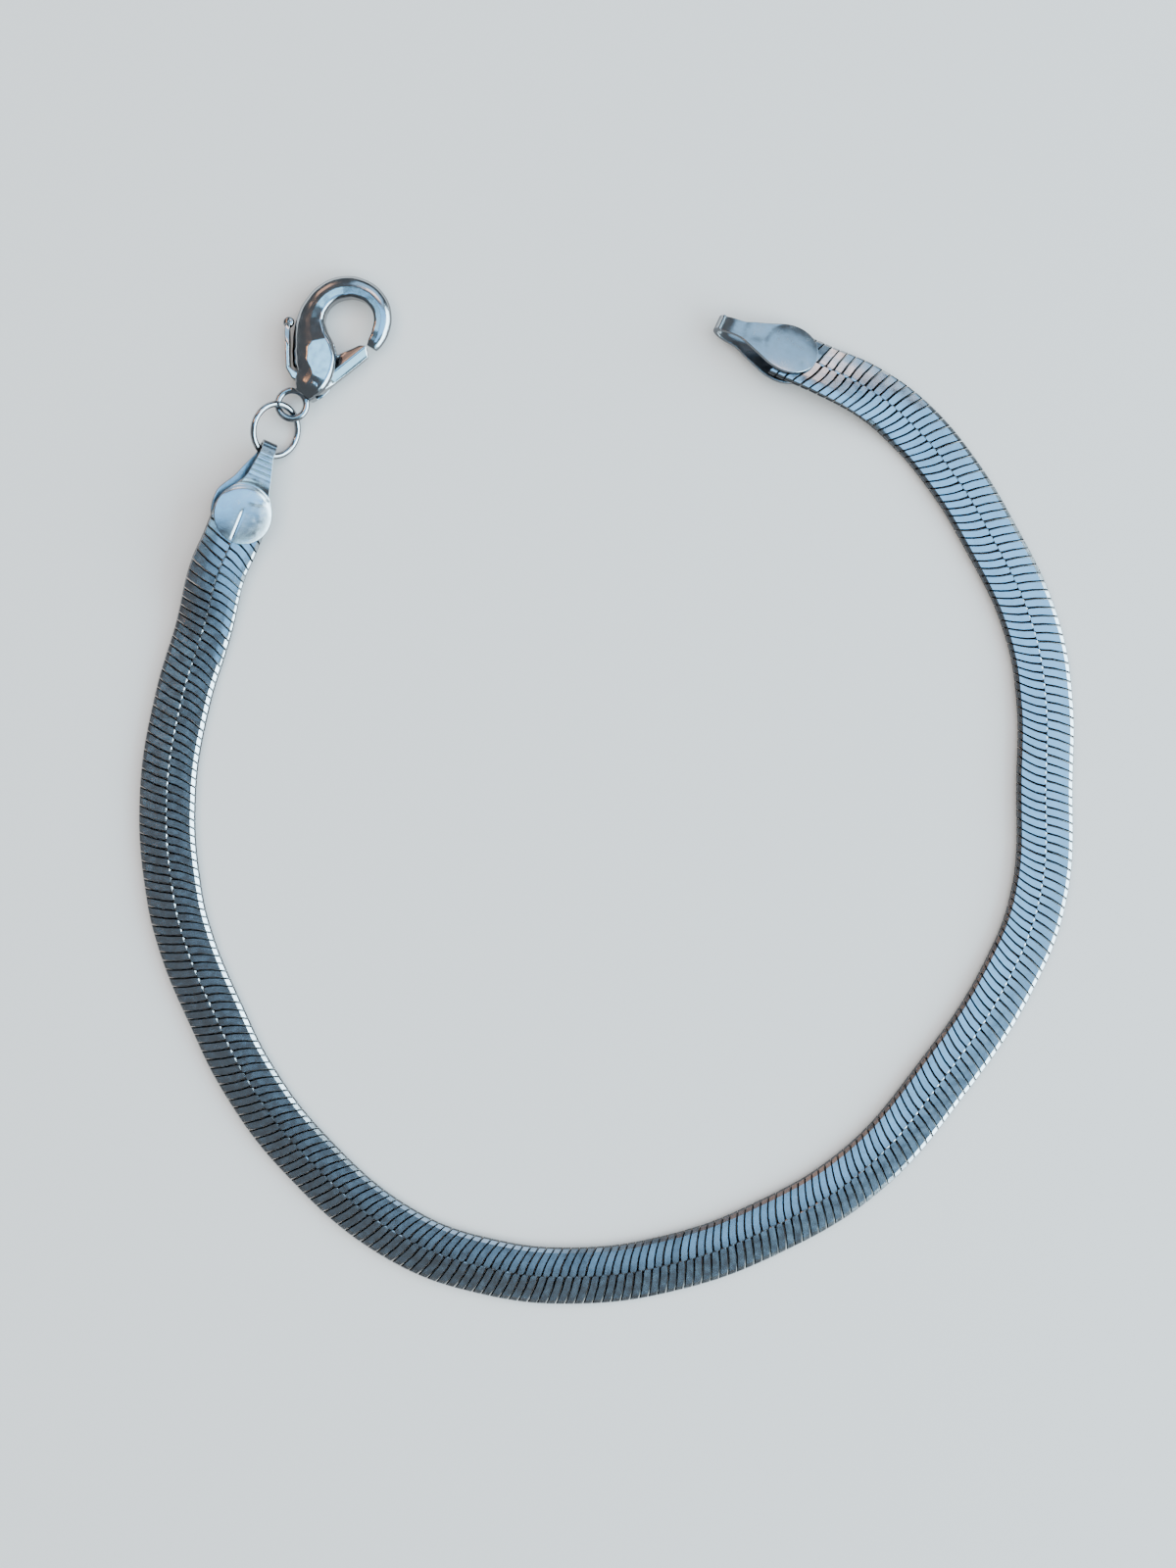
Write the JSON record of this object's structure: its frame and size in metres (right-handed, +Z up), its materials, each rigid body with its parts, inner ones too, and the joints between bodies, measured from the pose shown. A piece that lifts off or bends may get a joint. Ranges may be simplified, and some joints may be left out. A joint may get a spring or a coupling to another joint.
{
  "type": "herringbone chain bracelet",
  "caption": "Flat woven herringbone chain bracelet in silver-toned metal, lying open, with folded end caps, a jump ring and a lobster clasp whose lever turns.",
  "frame": {"origin": "middle of the bracelet's outline as it lies, on the table", "axes": "+Z up from the table, +Y towards the open side with the clasp, +X towards the stretch away from the clasp"},
  "size_m": [0.0686, 0.0754, 0.0033],
  "materials": {
    "chain_silver": "satin silver-toned links, tarnished dark in the grooves",
    "cap_silver": "dull rolled sheet with creases and small dents",
    "ring_wire": "polished round wire",
    "clasp_casting": "polished casting with fine scratches and worn edges",
    "clasp_lever_metal": "polished casting with fine scratches"
  },
  "bodies": {
    "bracelet": {"herringbone_chain": "chain_silver", "clasp_end_cap": "cap_silver", "free_end_cap": "cap_silver", "jump_ring": "ring_wire", "clasp_body": "clasp_casting", "clasp_pin": "clasp_casting"},
    "lever": {"clasp_lever": "clasp_lever_metal"}
  },
  "joints": [
    {"name": "lever_pivot", "type": "hinge", "parent": "bracelet", "child": "lever", "pos_m": [-0.02122, 0.02963, 0], "axis": [0, 0, 1], "range_deg": [0, 18], "stiffness_Nm_per_rad": 0.004}
  ]
}
